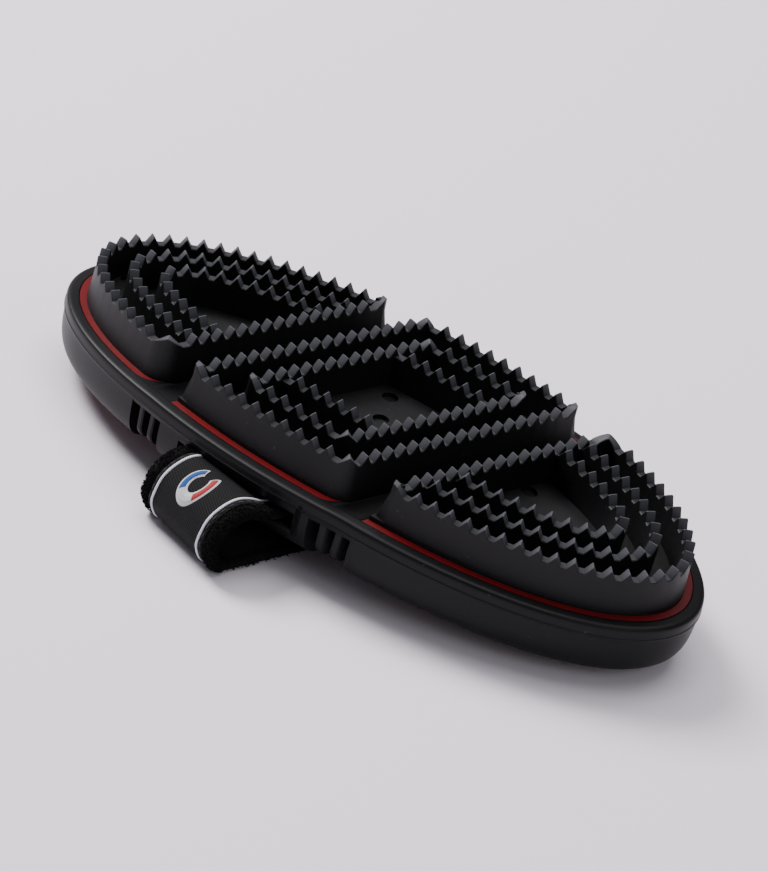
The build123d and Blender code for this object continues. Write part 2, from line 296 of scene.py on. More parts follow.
def pileFinish(name, look):
    # brushed loop pile: clumps of fine curl with soft sheen; the colour is painted lighter where the pile
    # stands high, a painted highlight, and darker in its hollows, a painted shade
    finish = Finish(name, {"Specular IOR Level": 0.05, "Sheen Weight": look["sheen"], "Sheen Roughness": 0.6})
    curl = finish.noise(look["curl"], 4)
    clump = finish.noise(look["curl"] * 0.25, 2)
    height = curl * 0.7 + clump * 0.5
    # painted highlight on the high pile and painted shade in its hollows
    finish.feed("Base Color", finish.blendColours(height * 0.8, look["colour"], look["paintedHighlight"]))
    finish.feed("Roughness", 0.8 + curl * 0.15)
    finish.feed("Normal", finish.bump(height, look["depth"] * mm, 1.0))
    return finish.material


rubberLook = {
    "dark": 0.0035, "light": 0.008, "tint": (0.96, 0.97, 1.14),
    "gloss": 0.15, "rough": 0.42, "bloom": 0.8, "grain": 0.02,
    "dust": 0.12, "dustCut": 0.77,
    "rubAmount": 0.0, "rubbed": 0.05,
}
toothLook = dict(rubberLook, dark=0.0045, light=0.008, rough=0.5, gloss=0.22, rubAmount=0.85,
                 rubbed=0.075, grain=0.03)
bodyRubber = rubberFinish("bodyRubber", rubberLook)
toothRubber = rubberFinish("toothRubber", toothLook)
redPlastic = plasticFinish("redPlastic", {
    "colour": (0.15, 0.004, 0.006, 1), "deep": (0.08, 0.003, 0.004, 1), "rough": 0.42})
barPlastic = plasticFinish("barPlastic", {"colour": shade(0.012), "deep": shade(0.02), "rough": 0.45})
# the second colour of each cloth and thread below is the painted highlight on the crests of its weave or pile
ribbonCloth = twillFinish("ribbonCloth", {
    "colour": shade(0.004), "paintedHighlight": shade(0.017, (1, 1, 1.1)), "sheen": 0.01,
    "lean": 21, "ribPitch": 0.68, "yarnPitch": 0.42, "depth": 0.17})
pileCloth = pileFinish("pileCloth", {
    "colour": shade(0.002), "paintedHighlight": shade(0.012), "sheen": 0.01, "curl": 2200, "depth": 0.35})
liningCloth = pileFinish("liningCloth", {
    "colour": shade(0.004), "paintedHighlight": shade(0.015), "sheen": 0.05, "curl": 1600, "depth": 0.3})
hookCloth = pileFinish("hookCloth", {
    "colour": shade(0.008), "paintedHighlight": shade(0.03), "sheen": 0.1, "curl": 3000, "depth": 0.4})
cordThread = twillFinish("cordThread", {
    "colour": shade(0.55, (0.95, 0.97, 1.1)), "paintedHighlight": shade(0.85, (0.96, 0.98, 1.05)), "sheen": 0.1,
    "lean": 30, "ribPitch": 0.5, "yarnPitch": 0.3, "depth": 0.04})


def threadFinish(name, colour):
    # satin stitch: parallel threads painted bright on their crests, a painted highlight, and darker between
    # them, a painted shade
    # a copy of the thread colour at 0.72 stands for the shade between threads: painted shade
    dark = tuple(0.72 * c for c in colour[:3]) + (1,)
    return twillFinish(name, {
        "colour": dark, "paintedHighlight": colour, "sheen": 0.2,
        "lean": 12, "ribPitch": 0.45, "yarnPitch": 0.9, "depth": 0.05})


whiteThread = threadFinish("whiteThread", (0.62, 0.62, 0.66, 1))
redThread = threadFinish("redThread", (0.42, 0.035, 0.04, 1))
blueThread = threadFinish("blueThread", (0.02, 0.09, 0.30, 1))
blackThread = threadFinish("blackThread", (0.03, 0.03, 0.033, 1))
print("finishes made")


# the concentric ovals of the plan
def crossing(grow, cut):
    # angles, near then far, at which the grown oval meets the line at that square distance
    a, b = comb["ridgeA"] + grow, comb["ridgeB"] + grow
    reach = np.hypot(a * square[0], b * square[1])
    lean = np.arctan2(b * square[1], a * square[0])
    swing = np.arccos(np.clip(cut / reach, -1, 1))
    return lean - swing, lean + swing


def ovalAt(grow, angle):
    return np.stack([(comb["ridgeA"] + grow) * np.cos(angle), (comb["ridgeB"] + grow) * np.sin(angle)], -1)


def outwardAt(grow, angle):
    # unit normal of an ellipse: its gradient x/a^2, y/b^2, scaled to length one
    n = np.stack([np.cos(angle) / (comb["ridgeA"] + grow), np.sin(angle) / (comb["ridgeB"] + grow)], -1)
    return n / np.linalg.norm(n, axis=-1, keepdims=True)


# toothed walls
teeth = {
    "halfTop": 1.3,         # half thickness of a wall at the teeth
    "halfBase": 1.75,
    "depth": 2.3,
    "toothHalf": 1.55,      # half width of a tooth at its root
    "crest": 0.13,          # half width of the rounded crest
    "bevel": 0.22,
    "below": 1.2,           # the wall starts to flare this far under the valleys
    "flare": (0.12, 0.03),  # how far its faces have spread there, and at the bevel
    "straightPitch": 4.0,
    "arcPitch": 4.6,
    "block": 3.2,           # half of a tooth at a sharp corner, flat for a third of its length
    # a sharp corner is cut off flat: its outer face, then its foot, stop this share of their offset out
    "cornerReach": 0.45,
    "cornerFoot": 1.0,
    "roundCentre": 3.4,     # radius of a blunt corner, which carries one wide tooth
    "roundEnd": 4.7,
}


def toothLine(length, first, count, pitch, start, end):
    # places along a wall and the height there: teeth, and at each end a block or a stop short of the corner
    valley = tipTop - teeth["depth"]
    centre = first + pitch * np.arange(count)
    width, crest, block = teeth["toothHalf"], teeth["crest"], teeth["block"]
    u = (centre[:, None] + np.array([-width, -0.5 * width, -crest, crest, 0.5 * width, width])).ravel()
    lift = np.array([0, 0.52, 1, 1, 0.52, 0])
    z = np.tile(valley + teeth["depth"] * lift, count)
    for corner, kind in ((0, start), (length, end)):
        sign = 1 if corner == 0 else -1
        if kind == "block":
            spots, rise = block * np.array([0, 0.3, 0.36, 0.66, 1]), np.array([1, 1, 0.96, 0.5, 0])
        else:
            spots, rise = np.array([kind]), np.array([0.0])
        keep = sign * (u - corner) > spots[-1] + 0.05
        u, z = u[keep], z[keep]
        u, z = np.r_[u, corner + sign * spots], np.r_[z, valley + teeth["depth"] * rise]
    order = np.argsort(u, kind="stable")
    return u[order], z[order]


def arcWall(level, angles, teethSpec):
    # a wall along the oval between two angles: points, outward normals and heights
    size = -level * comb["ringStep"]
    dense = np.linspace(angles[0], angles[1], 3000)
    line = ovalAt(size, dense)
    reach = np.r_[0, np.cumsum(np.linalg.norm(np.diff(line, axis=0), axis=1))]
    u, z = toothLine(reach[-1], *teethSpec(reach[-1]))
    angle = np.interp(u, reach, dense)
    return ovalAt(size, angle), outwardAt(size, angle), z


def straightWall(start, end, normal, teethSpec):
    length = np.linalg.norm(end - start)
    u, z = toothLine(length, *teethSpec(length))
    return start + (u / length)[:, None] * (end - start), np.tile(normal, (len(u), 1)), z


def stopShort(radius, first, second):
    # a rounding of this radius starts r tan(turn / 2) short of the corner between two normals
    return radius * math.tan(math.acos(first @ second) / 2)


def joinWalls(walls, radius):
    # one closed path: walls that meet share a mitred normal, and a gap is rounded with one wide tooth
    points, normals, heights = [list(w) for w in zip(*walls)]
    for i in range(len(walls)):
        j = (i + 1) % len(walls)
        a, b = normals[i][-1], normals[j][0]
        if np.linalg.norm(points[i][-1] - points[j][0]) < 0.5:
            normals[i] = np.vstack([normals[i][:-1], (a + b) / (1 + a @ b)])
            points[j], normals[j], heights[j] = points[j][1:], normals[j][1:], heights[j][1:]
            continue
        t = np.linspace(0, 1, 17)[1:-1, None]
        angle = math.atan2(a[1], a[0]) + math.acos(a @ b) * t
        normal = np.concatenate([np.cos(angle), np.sin(angle)], 1)
        middle = (points[i][-1] - radius * a) * (1 - t) + (points[j][0] - radius * b) * t
        rise = np.minimum(1.04 - np.hypot(2 * t[:, 0] - 1, 0.06), 0.97)
        points[i] = np.vstack([points[i], middle + radius * normal])
        normals[i] = np.vstack([normals[i], normal])
        heights[i] = np.r_[heights[i], tipTop - teeth["depth"] * (1 - rise)]
    return np.vstack(points), np.vstack(normals), np.concatenate(heights)


def toothedRing(name, path, closed, side, outerBase, innerBase, outerGrow=None):
    # section of the wall: inner base, inner face, bevel, top, bevel, outer face, outer base
    points, normals, heights = path
    top, base, bevel = teeth["halfTop"], teeth["halfBase"], teeth["bevel"]
    valley = tipTop - teeth["depth"]
    wide, narrow = teeth["flare"]
    outer = base if outerGrow is None else outerGrow
    low = np.full_like(heights, valley - teeth["below"])
    offsets = [-base, -top - wide, -top - narrow, -top + bevel, 0,
               top - bevel, top + narrow, top + wide, outer]
    levels = [np.full_like(heights, innerBase), low, heights - bevel, heights, heights + 0.02, heights,
              heights - bevel, low, np.full_like(heights, outerBase)]
    long = np.linalg.norm(normals, axis=1, keepdims=True)
    reach, foot = [normals * np.where(long > 1.3, teeth[k] / long, 1) for k in ("cornerReach", "cornerFoot")]
    ways = [normals] * 5 + [reach] * 3 + [foot]
    columns = [np.column_stack([points + off * way, z]) for off, way, z in zip(offsets, ways, levels)]
    grid = np.stack(columns, 1)
    if side:
        grid = hang(grid, side)
    rows, cols = grid.shape[:2]
    rub = np.zeros((rows, cols))
    rub[:, 3:6] = (0.35 + 0.65 * (heights - valley) / teeth["depth"])[:, None]
    faces = [gridFaces(rows, cols, closeRows=closed, closeCols=True)]
    if not closed:
        faces += [list(range(cols))[::-1], list(range((rows - 1) * cols, rows * cols))]
    return addMesh(name, grid, faces, toothRubber, sharp=28, attributes={"rub": rub})


def rowOf(count, corner, stop):
    # a straight row of teeth whose last tooth stands this far from the blunt corner
    def spec(length):
        first = length - corner - (count - 1) * teeth["straightPitch"]
        return first, count, teeth["straightPitch"], "block", stop
    return spec


def arcOf(start, end, padStart, padEnd):
    # as many teeth as fit between the two ends at about the arc pitch
    def spec(length):
        room = length - padStart - padEnd
        count = int(round(room / teeth["arcPitch"])) + 1
        return padStart, count, room / (count - 1), start, end
    return spec


def reversedWall(wall):
    return wall[0][::-1], wall[1][::-1], wall[2][::-1]


def centreRing(level):
    grow, row = -level * comb["ringStep"], comb["rowCentre"] - level * comb["ringStep"]
    count, corner = ((17, 4.8), (13, 4.3))[level]
    nearRight, farRight = crossing(grow, row)
    farLeft, nearLeft = crossing(grow, -row)[1], crossing(grow, -row)[0]
    ends = [ovalAt(grow, a) for a in (nearLeft, nearRight, farRight, farLeft)]
    radius = teeth["roundCentre"]
    stop = stopShort(radius, square, outwardAt(grow, nearRight))
    near = arcWall(level, (nearLeft, nearRight), arcOf("block", stop, 6.2, 6.0))
    right = reversedWall(straightWall(ends[2], ends[1], square, rowOf(count, corner, stop)))
    far = arcWall(level, (farRight, farLeft), arcOf("block", stop, 6.2, 6.0))
    left = reversedWall(straightWall(ends[0], ends[3], -square, rowOf(count, corner, stop)))
    return joinWalls([near, right, far, left], radius)


def plain(length):
    return arcOf(0.0, 0.0, 2.2, 2.2)(length)


def endRing(level, side):
    # the right-hand ring is worked out, and the left one is its half turn
    grow, row = -level * comb["ringStep"], comb["rowCentre"] + comb["zoneGap"]
    if level == 0:
        nearAngle, farAngle = crossing(grow, row)
        start, end = ovalAt(grow, nearAngle), ovalAt(grow, farAngle)
        radius = teeth["roundEnd"]
        stop = stopShort(radius, -square, outwardAt(grow, farAngle))
        arc = arcWall(level, (nearAngle, farAngle), arcOf("block", stop, 6.2, 8.0))
        diagonal = reversedWall(straightWall(start, end, -square, rowOf(15, 8.3, stop)))
        path = joinWalls([arc, diagonal], radius)
    else:
        inside = row + teeth["halfTop"] * 0.6
        path = arcWall(level, crossing(grow, inside), plain)
    points, normals, heights = path
    if side < 0:
        points, normals = -points, -normals
    return points, normals, heights


# the walls' faces end just inside what they stand on
onCore, onFloor = coreTop - 0.05, floorTop - 0.2
place(toothedRing("toothRingCentreOuter", centreRing(0), True, 0, onCore, onFloor, comb["foot"]),
      "centre", ["teeth_centre_outer"])
place(toothedRing("toothRingCentreInner", centreRing(1), True, 0, onFloor, onFloor),
      "centre", ["teeth_centre_inner"])
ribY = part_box("teeth_centre_rib_far")
ribY = (ribY[0][1] + ribY[1][1]) / 2 / mm
for end, side in (("near", -1), ("far", 1)):
    row = comb["rowCentre"] - comb["ringStep"] - teeth["halfTop"] * 0.6
    centreX = side * ribY * along[0] / along[1]
    halfX = row / square[0]
    ends = [np.array([centreX + reach, side * ribY]) for reach in (-halfX, halfX)]
    rib = straightWall(*ends, np.array([0, -1.0]), lambda length: (length / 2 - 10.5, 6, 4.2, 0.0, 0.0))
    place(toothedRing("toothRib" + end.title(), rib, False, 0, onFloor, onFloor),
          "centre", ["teeth_centre_rib_" + end])
for name, side in sides.items():
    for level, ring in enumerate(("outer", "middle", "inner")):
        base = onCore if level == 0 else onFloor
        grow = comb["foot"] if level == 0 else None
        piece = toothedRing(f"toothRing{name.title()}{ring.title()}", endRing(level, side), level == 0, side,
                            base, onFloor, grow)
        place(piece, name, [f"teeth_{name}_{ring}"])
print("toothed walls made")


# black body
body = {
    "slotTop": hingeZ - 3.5,     # ceiling of the bellows slots
    "slotHalf": 5.7,             # the three slots and two fins take twice this
    "finHalf": (1.3, 3.1),
    "finShort": 1.8,
    "cheek": 1.8,
    "inner": 2.2,                # inner face of the frame, beyond the ridge
    "strapSlot": (-16.8, 20.2),  # the near strap slot, measured square to the strap
    "ledge": 17.0,               # its ceiling and its floor
    "sill": 13.0,
    "pocket": 15.0,              # how far in it runs
    "panel": 1.2,                # thickness of its back wall and of its ends
    "pocketEnd": 1.6,
    "pocketMouth": 6.5,          # the ends stop this far short of the rim
    "seam": lipTop - 3.2,        # height of the raised moulding line
    "arcSteps": 60,
}
edge, outer = zoneMid - body["slotHalf"], zoneMid + body["slotHalf"]
# section from the red band over the lip and down: (beyond the ridge, height)
lipLine = [(coreGrow + 0.02, coreTop - 0.7), (coreGrow + 0.04, lipTop - 0.02),
           (coreGrow + 0.3, lipTop + 0.08), (coreGrow + 1.3, lipTop + 0.04), (bodyGrow - 1.2, lipTop),
           (bodyGrow - 0.4, lipTop - 0.3), (bodyGrow - 0.05, lipTop - 1.1),
           (bodyGrow - 0.05, body["seam"] + 0.3)]
bottomLine = [(bodyGrow - 0.6, frameLow + 3.2), (bodyGrow - 1.9, frameLow + 1.1), (bodyGrow - 4.0, frameLow),
              (body["inner"] + 0.4, frameLow), (body["inner"], frameLow + 0.3)]
innerTop = [(body["inner"], coreTop - 2.6), (coreGrow + 0.02, coreTop - 2.6)]
seam = [(bodyGrow + 0.16, body["seam"] + 0.16), (bodyGrow + 0.16, body["seam"] - 0.16),
        (bodyGrow - 0.1, body["seam"] - 0.3)]
sideLine = [(bodyGrow - 0.15, lipTop - 4.6), (bodyGrow - 0.1, frameLow + 6.5)]
slotLine = [(bodyGrow - 0.3, body["slotTop"] + 0.3), (bodyGrow - 0.6, body["slotTop"]),
            (bodyGrow - 3.4, body["slotTop"]), (body["inner"], body["slotTop"])]
shelfLine = [(bodyGrow - 0.1, body["ledge"] + 0.6), (bodyGrow - 0.3, body["ledge"] + 0.05),
             (bodyGrow - 0.9, body["ledge"]), (body["inner"], body["ledge"] - 0.1)]
fullLine = lipLine + seam + sideLine + bottomLine + innerTop
zoneLine = lipLine + seam + slotLine + innerTop
ledgeLine = lipLine + seam + shelfLine + innerTop
sillLine = [(bodyGrow - body["pocket"], body["sill"]), (bodyGrow - 0.9, body["sill"]),
            (bodyGrow - 0.2, body["sill"] - 0.6), (bodyGrow - 0.1, frameLow + 4.4)]
sillLine += bottomLine
sillLine += [(body["inner"], body["sill"] - 1.5), (bodyGrow - body["pocket"], body["sill"] - 1.5)]


def ovalSweep(line, first, last, steps):
    # each point of the section runs along its own oval from its first angle to its last
    section = roundOff(np.array(line), 2)
    grow, height = section.T
    angle = first(grow) + (last(grow) - first(grow)) * np.linspace(0, 1, steps)[:, None]
    a, b = comb["ridgeA"] + grow, comb["ridgeB"] + grow
    return np.stack([a * np.cos(angle), b * np.sin(angle), np.broadcast_to(height, angle.shape)], -1)


def nearCut(distance):
    return lambda grow: crossing(grow, distance)[0]


def farCut(distance):
    return lambda grow: crossing(grow, distance)[1]


def crossWall(low, high, inset, bottom, top):
    # a wall across the body between two square distances, its lower corners rounded like the body's
    t = np.linspace(0, math.pi / 2, 12)
    reach = np.r_[bodyGrow - inset, bodyGrow - inset - 3.4 * (1 - np.cos(t))]
    height = np.r_[top, bottom + 3.6 * (1 - np.sin(t))]
    loops = []
    for distance, shrink in ((low, 0.35), (low + 0.35, 0), (high - 0.35, 0), (high, 0.35)):
        z = np.maximum(height, bottom + shrink)
        nearAngle, farAngle = crossing(reach - shrink, distance)
        near = np.column_stack([ovalAt(reach - shrink, nearAngle), z])
        far = np.column_stack([ovalAt(reach - shrink, farAngle), z])
        loops.append(np.vstack([near, far[::-1]]))
    return np.stack(loops)


def closedLoops(grids):
    # every grid is a row of closed loops, capped at both ends
    verts, faces, start = [], [], 0
    for grid in grids:
        rows, cols = grid.shape[:2]
        faces += [gridFaces(rows, cols, closeCols=True, start=start), list(range(start, start + cols)),
                  list(range(start + (rows - 1) * cols, start + rows * cols))]
        verts.append(grid.reshape(-1, 3))
        start += rows * cols
    return np.vstack(verts), faces


def halfTurn(grid):
    return grid * [-1, -1, 1]


slotLow, slotHigh = body["strapSlot"]
steps = body["arcSteps"]
nearSide = [ovalSweep(fullLine, nearCut(-edge), nearCut(slotLow), steps // 3),
            ovalSweep(ledgeLine, nearCut(slotLow), nearCut(slotHigh), steps),
            ovalSweep(sillLine, nearCut(slotLow), nearCut(slotHigh), steps),
            ovalSweep(fullLine, nearCut(slotHigh), nearCut(edge), steps // 4)]
lowEnd, highEnd = slotLow - body["pocketEnd"], slotHigh + body["pocketEnd"]
rimAway = (comb["ridgeB"] + bodyGrow - 0.2) / along[1]
inside, mouth = -(rimAway - body["pocket"]) - body["panel"], body["pocketMouth"] - rimAway
for low, high, outside in ((lowEnd, slotLow, mouth), (slotHigh, highEnd, mouth),
                           (lowEnd, highEnd, inside + body["panel"])):
    # the pocket's two ends and its back wall: upright boxes in the strap's own directions
    corner = np.array([[low, inside], [high, inside], [high, outside], [low, outside]])
    plan = corner[:, :1] * square + corner[:, 1:] * along
    z = np.array([body["sill"] - 1.4, coreTop - 2.5])
    nearSide.append(np.stack([np.column_stack([plan, np.full(4, h)]) for h in z]))
centreGrids = nearSide + [halfTurn(g) for g in nearSide]
for side in (-1, 1):
    fin = sorted(side * (zoneMid - reach) for reach in body["finHalf"])
    cheek = sorted((side * (edge - body["cheek"]), side * edge))
    centreGrids.append(crossWall(*fin, 0.5, frameLow + body["finShort"], body["slotTop"] + 0.4))
    centreGrids.append(crossWall(*cheek, bodyGrow - body["inner"] - 1.5, frameLow + 0.05, coreTop - 2.5))
verts, faces = closedLoops(centreGrids)
place(addMesh("bodyCentre", verts, faces, bodyRubber), "centre", ["frame_centre"])

for name, side in sides.items():
    endGrids = [ovalSweep(fullLine, nearCut(outer), farCut(outer), 3 * steps),
                crossWall(*[zoneMid + reach for reach in body["finHalf"]], 0.5, frameLow + body["finShort"],
                          body["slotTop"] + 0.4),
                crossWall(outer, outer + body["cheek"], bodyGrow - body["inner"] - 1.5, frameLow + 0.05,
                          coreTop - 2.5)]
    verts, faces = closedLoops([hang(g * [side, side, 1], side) for g in endGrids])
    place(addMesh("body" + name.title(), verts, faces, bodyRubber), name, ["frame_" + name])

    # lip and skin over the flex zone, bending between the two sections
    lips = [ovalSweep(zoneLine, cut(edge), cut(outer), 25) for cut in (nearCut, farCut)]
    across = np.linspace(zoneMid - 12, zoneMid + 12, 49)
    near, far = (ovalAt(coreGrow + 0.3, angle) for angle in crossing(np.full(49, coreGrow + 0.3), across))
    t = np.linspace(0, 1, 60)[None, :, None]
    flat = near[:, None] * (1 - t) + far[:, None] * t
    dip = 0.55 * ease(0, 1.6, 4.6 - np.abs(across - zoneMid))[:, None] * np.ones((1, 60))
    top = np.concatenate([flat, (coreTop - 0.04 - dip)[..., None]], -1)
    skinLoops = np.concatenate([top, (top - [0, 0, 2.4])[:, ::-1]], 1)
    verts, faces = closedLoops([hang(g * [side, side, 1], side, rigid=False) for g in lips + [skinLoops]])
    skin = addMesh("flexSkin" + name.title(), verts, faces, bodyRubber)
    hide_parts("flex_web_" + name)
    low, high = side * edge * square * mm, side * outer * square * mm
    hingeZ * mm
    hingeZ * mm
    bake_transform(skin)
print("black body made")

# red plates, pad floors and anchor bars keep their CAD shapes
for material, kinds, ends in ((redPlastic, ("core", "back"), ("centre", "left", "right")),
                              (toothRubber, ("pad_floor",), ("centre", "left", "right")),
                              (barPlastic, ("anchor_bar",), ("near", "far"))):
    for node in [f"{kind}_{end}" for kind in kinds for end in ends]:
        looks = frame["nodes"][node].data.materials
        looks.clear()
        looks.append(material)

# hand strap
strap = {
    "middle": 0.9,            # its centre line, measured square to it
    "ribbonHalf": 11.5,
    "ribbonThick": 0.6,
    "cordAt": 9.75,
    "cordHalf": 0.38,
    "cordRise": 0.3,
    "tufts": 8800,
    "tuftsOutside": 0.7,      # share of them on the two bulges
    "tuftSize": 0.74,
    "tuftSpread": (0.5, 1.35),
    "bulgeSpan": (8, 42),     # where the bulge lies, measured from the strap's end in the slot
    "samples": 420,
    # outer face from the slot over the bulge to the floor: (along the strap, height)
    "bulge": [(36.0, 15.0), (43.9, 15.4), (47.9, 17.3), (52.5, 18.2), (56.9, 16.6), (60.3, 13.8), (61.7, 9.4),
              (62.1, 6.0), (58.6, 0.14), (50.0, 0.14), (20.0, 0.14)],
    # half of the pile band's section: (from the middle, depth below the ribbon's face)
    "band": [(0, 0.7), (10.8, 0.7), (11.6, 0.85), (11.75, 0.72), (12.1, 0.32), (12.8, 0.08), (13.7, 0.05),
             (14.5, 0.35), (15.0, 1.0), (15.05, 1.9), (14.6, 2.5), (13.6, 2.8), (12.0, 2.6), (0, 2.4)],
}
bulge = np.array(strap["bulge"])
outerLine = spreadAlong(roundOff(np.vstack([bulge * [-1, 1], bulge[::-1]]), 4), strap["samples"])
outerStep = np.gradient(outerLine, axis=0)
outerStep /= np.linalg.norm(outerStep, axis=1)[:, None]
outerNormal = np.stack([outerStep[:, 1], -outerStep[:, 0]], 1)
reachAlong = np.r_[0, np.cumsum(np.linalg.norm(np.diff(outerLine, axis=0), axis=1))]


def onStrap(across, length, depth):
    # a point of the strap: its outer line at that length, moved in by depth and sideways by across
    across, length, depth = np.broadcast_arrays(across, length, depth)
    line = [np.interp(length, reachAlong, outerLine[:, k]) for k in (0, 1)]
    out = [np.interp(length, reachAlong, outerNormal[:, k]) for k in (0, 1)]
    t, z = line[0] - depth * out[0], line[1] - depth * out[1]
    plan = t[..., None] * along + (across + strap["middle"])[..., None] * square
    return np.concatenate([plan, z[..., None]], -1)


def strapFrame(length, turn):
    # unit vectors at a length: outward turned by an angle towards the side, the side with it, and along
    out = np.stack([np.interp(length, reachAlong, outerNormal[:, k]) for k in (0, 1)], -1)
    out3 = np.concatenate([out[:, :1] * along, out[:, 1:]], -1)
    side3 = np.broadcast_to(np.r_[square, 0], out3.shape)
    c, s = np.cos(turn)[:, None], np.sin(turn)[:, None]
    normal = out3 * c + side3 * s
    sideways = side3 * c - out3 * s
    return normal, sideways, np.cross(normal, sideways)


def strapPiece(name, loop, lengths, material, nodes=(), sharp=50):
    # a closed section carried along the strap's path
    across, depth = loop
    rows = np.asarray(lengths)[:, None]
    grid = onStrap(across, rows, depth)
    uv = np.stack(np.broadcast_arrays(across, rows), -1)
    verts, faces = closedLoops([grid])
    piece = addMesh(name, verts, faces, material, sharp=sharp, uv=uv.reshape(-1, 2))
    return bendStrap(piece, nodes)


def bendStrap(piece, nodes=()):
    if nodes:
        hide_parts(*nodes)
    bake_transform(piece)
    return piece


def scatter(template, faces, spots, normal, side, forward, size):
    # one small shape set down many times: its axes follow side, forward and normal
    frames = np.stack([side, forward, normal], 1) * size[:, None, None]
    verts = spots[:, None] + template @ frames
    count, each = len(spots), len(template)
    shift = each * np.arange(count)[:, None, None]
    blocks = [(np.asarray(f)[None] + shift).reshape(-1, np.shape(f)[1]) for f in faces]
    return verts.reshape(-1, 3), blocks


halfBand = roundOff(np.array(strap["band"]), 1)
bandLoop = np.vstack([halfBand, halfBand[::-1] * [-1, 1]])
strapPiece("strapPile", bandLoop.T, reachAlong, pileCloth,
           ["strap_base", "strap_end_near", "strap_end_far"])

# tufts of pile: three-sided curls set over the band's edges
random = np.random.default_rng(7)
curlLine = np.array([(0, -0.15), (0.06, 0.32), (0.34, 0.62), (0.62, 0.42)])
curlThick = np.array([0.2, 0.19, 0.17, 0.1])
ringAngle = np.arange(3) * 2 * math.pi / 3
curl = np.stack([curlLine[:, :1] + curlThick[:, None] * np.cos(ringAngle),
                 curlThick[:, None] * np.sin(ringAngle), np.repeat(curlLine[:, 1:], 3, 1)], -1).reshape(-1, 3)
curlFaces = [gridFaces(4, 3, closeCols=True), np.array([[0, 2, 1], [9, 10, 11]])]
rim = spreadAlong(roundOff(np.array(strap["band"][3:]), 2), 200)
rimStep = np.gradient(rim, axis=0)
rimTurn = np.arctan2(rimStep[:, 1], rimStep[:, 0])
pick = (random.random(strap["tufts"]) ** 0.9 * 76).astype(int)
flank = random.choice([-1, 1], strap["tufts"])
lengths = random.uniform(2, reachAlong[-1] - 2, strap["tufts"])
bulged = random.uniform(*strap["bulgeSpan"], strap["tufts"])
bulged = np.where(random.random(strap["tufts"]) < 0.5, bulged, reachAlong[-1] - bulged)
lengths = np.where(random.random(strap["tufts"]) < strap["tuftsOutside"], bulged, lengths)
normal, sideways, forward = strapFrame(lengths, flank * rimTurn[pick])
spin = random.uniform(0, 2 * math.pi, strap["tufts"])[:, None]
spinCos, spinSin = np.cos(spin), np.sin(spin)
sideways, forward = sideways * spinCos + forward * spinSin, forward * spinCos - sideways * spinSin
spots = onStrap(flank * rim[pick, 0], lengths, rim[pick, 1])
size = strap["tuftSize"] * random.uniform(*strap["tuftSpread"], strap["tufts"])
verts, faces = scatter(curl, curlFaces, spots, normal, sideways, forward, size)
verts[:, 2] = np.maximum(verts[:, 2], 0.02)
bendStrap(addMesh("strapTufts", verts, faces, pileCloth, sharp=80))

half, thick = strap["ribbonHalf"], strap["ribbonThick"]
crossTop = np.linspace(-half, half, 25)
topDepth = 0.22 * ease(half - 0.7, half, np.abs(crossTop))
underside = np.stack([crossTop[::-1], np.full(25, thick)])
ribbonLoop = np.concatenate([np.stack([crossTop, topDepth]), underside], 1)
ribbon = strapPiece("strapRibbon", ribbonLoop, reachAlong, ribbonCloth, ["strap_ribbon"],
                    sharp=60)

arch = np.linspace(0, math.pi, 9)
for name, flank in (("left", -1), ("right", 1)):
    rows = reachAlong[3:-3][:, None]
    height = np.interp(rows, reachAlong, outerLine[:, 1])
    rise = 0.1 + (strap["cordRise"] - 0.1) * ease(0.4, 2.2, height)
    across = flank * strap["cordAt"] + strap["cordHalf"] * np.r_[np.cos(arch), -0.6, 0.6]
    depth = np.concatenate([-rise * np.sin(arch), np.broadcast_to([0.2, 0.2], (len(rows), 2))], 1)
    verts, faces = closedLoops([onStrap(across, rows, depth)])
    uv = np.stack(np.broadcast_arrays(across, rows), -1).reshape(-1, 2)
    cord = addMesh("edgeCord" + name.title(), verts, faces, cordThread, sharp=60, uv=uv)
    bendStrap(cord, ["edge_cord_" + name])

# stitches along both edges of the ribbon
stitch = {"pitch": 2.6, "long": 0.85, "wide": 0.2, "high": 0.12, "at": 10.9}
ringCount, ringSide = 5, 6
lon = np.linspace(-1, 1, ringCount)
girth = np.sqrt(np.clip(1 - lon ** 2, 0.05, 1))
ringAngle = np.arange(ringSide) * 2 * math.pi / ringSide
bead = np.stack([girth[:, None] * np.cos(ringAngle) * stitch["wide"],
                 np.repeat(lon[:, None] * stitch["long"], ringSide, 1),
                 girth[:, None] * np.sin(ringAngle) * stitch["high"]], -1).reshape(-1, 3)
beadFaces = [gridFaces(ringCount, ringSide, closeCols=True),
             np.array([[0, 1, 2, 3, 4, 5], [24, 25, 26, 27, 28, 29]])]
lengths = np.tile(np.arange(6, reachAlong[-1] - 6, stitch["pitch"]), 2)
flank = np.repeat([-1, 1], len(lengths) // 2)
normal, sideways, forward = strapFrame(lengths, np.zeros(len(lengths)))
spots = onStrap(flank * stitch["at"], lengths, 0.02)
verts, faces = scatter(bead, beadFaces, spots, normal, sideways, forward, np.ones(len(lengths)))
verts[:, 2] = np.maximum(verts[:, 2], 0.02)
uv = np.tile(bead[:, :2], (len(lengths), 1))
bendStrap(addMesh("ribbonStitches", verts, faces, blackThread, sharp=80, uv=uv))

# embroidered horseshoe on the near bulge
motif = {
    "out": 56.4,              # its middle's distance from the strap's own middle
    "across": -0.6,
    "halfWide": 3.0,
    "halfLong": 5.0,
    "open": 38,               # half of the gap between the heels, in degrees
    "band": 1.25,
    "outline": 0.42,
    "rise": 0.42,
}
motifAt = reachAlong[np.argmax(outerLine[:, 0] < -motif["out"])]


